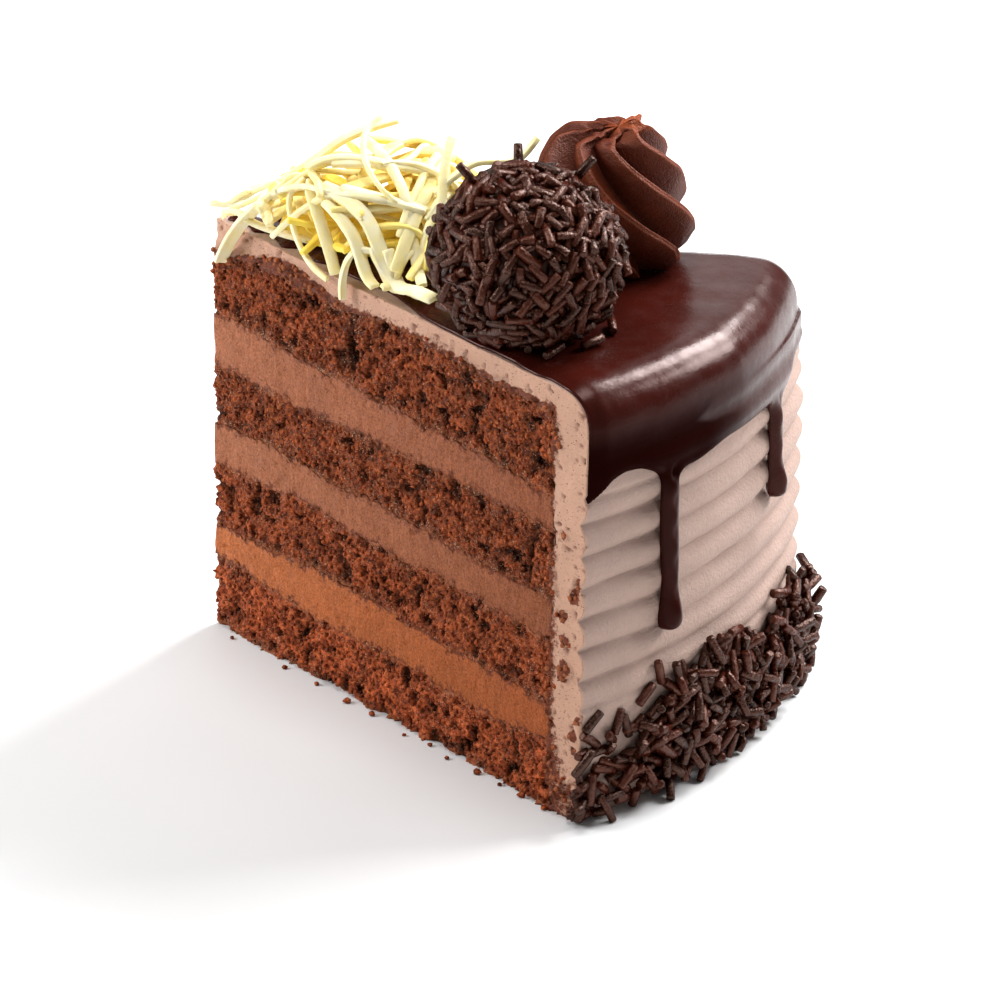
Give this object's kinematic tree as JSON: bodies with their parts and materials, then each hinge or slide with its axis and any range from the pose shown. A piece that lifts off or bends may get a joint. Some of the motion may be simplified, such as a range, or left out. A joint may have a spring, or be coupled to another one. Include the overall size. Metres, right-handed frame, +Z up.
{
  "type": "slice of chocolate layer cake",
  "caption": "Tall wedge of chocolate layer cake with cream fillings, combed frosting, dripping glaze, a sprinkled truffle, a piped rosette and pale shavings.",
  "frame": {"origin": "under the middle of the slice's box, on the surface it stands on", "axes": "+Z up; +X from the wedge's tip towards its frosted side, along its middle line"},
  "size_m": [0.111, 0.0758, 0.111],
  "materials": {
    "sponge": "open moist crumb",
    "filling": "smooth whipped chocolate cream, cut",
    "frosting": "soft satin, combed",
    "glaze": "wet gloss",
    "truffle": "covered in chocolate sprinkles",
    "rosette": "smooth piped cream, satin",
    "shavings": "waxy satin",
    "sprinkles": "dull satin"
  },
  "bodies": {
    "root": {"sponge_1": "sponge", "sponge_2": "sponge", "sponge_3": "sponge", "sponge_4": "sponge", "filling_1": "filling", "filling_2": "filling", "filling_3": "filling", "frosting": "frosting", "glaze": "glaze", "truffle": "truffle", "rosette": "rosette", "shavings_heap": "shavings", "sprinkle_band": "sprinkles"}
  },
  "joints": []
}
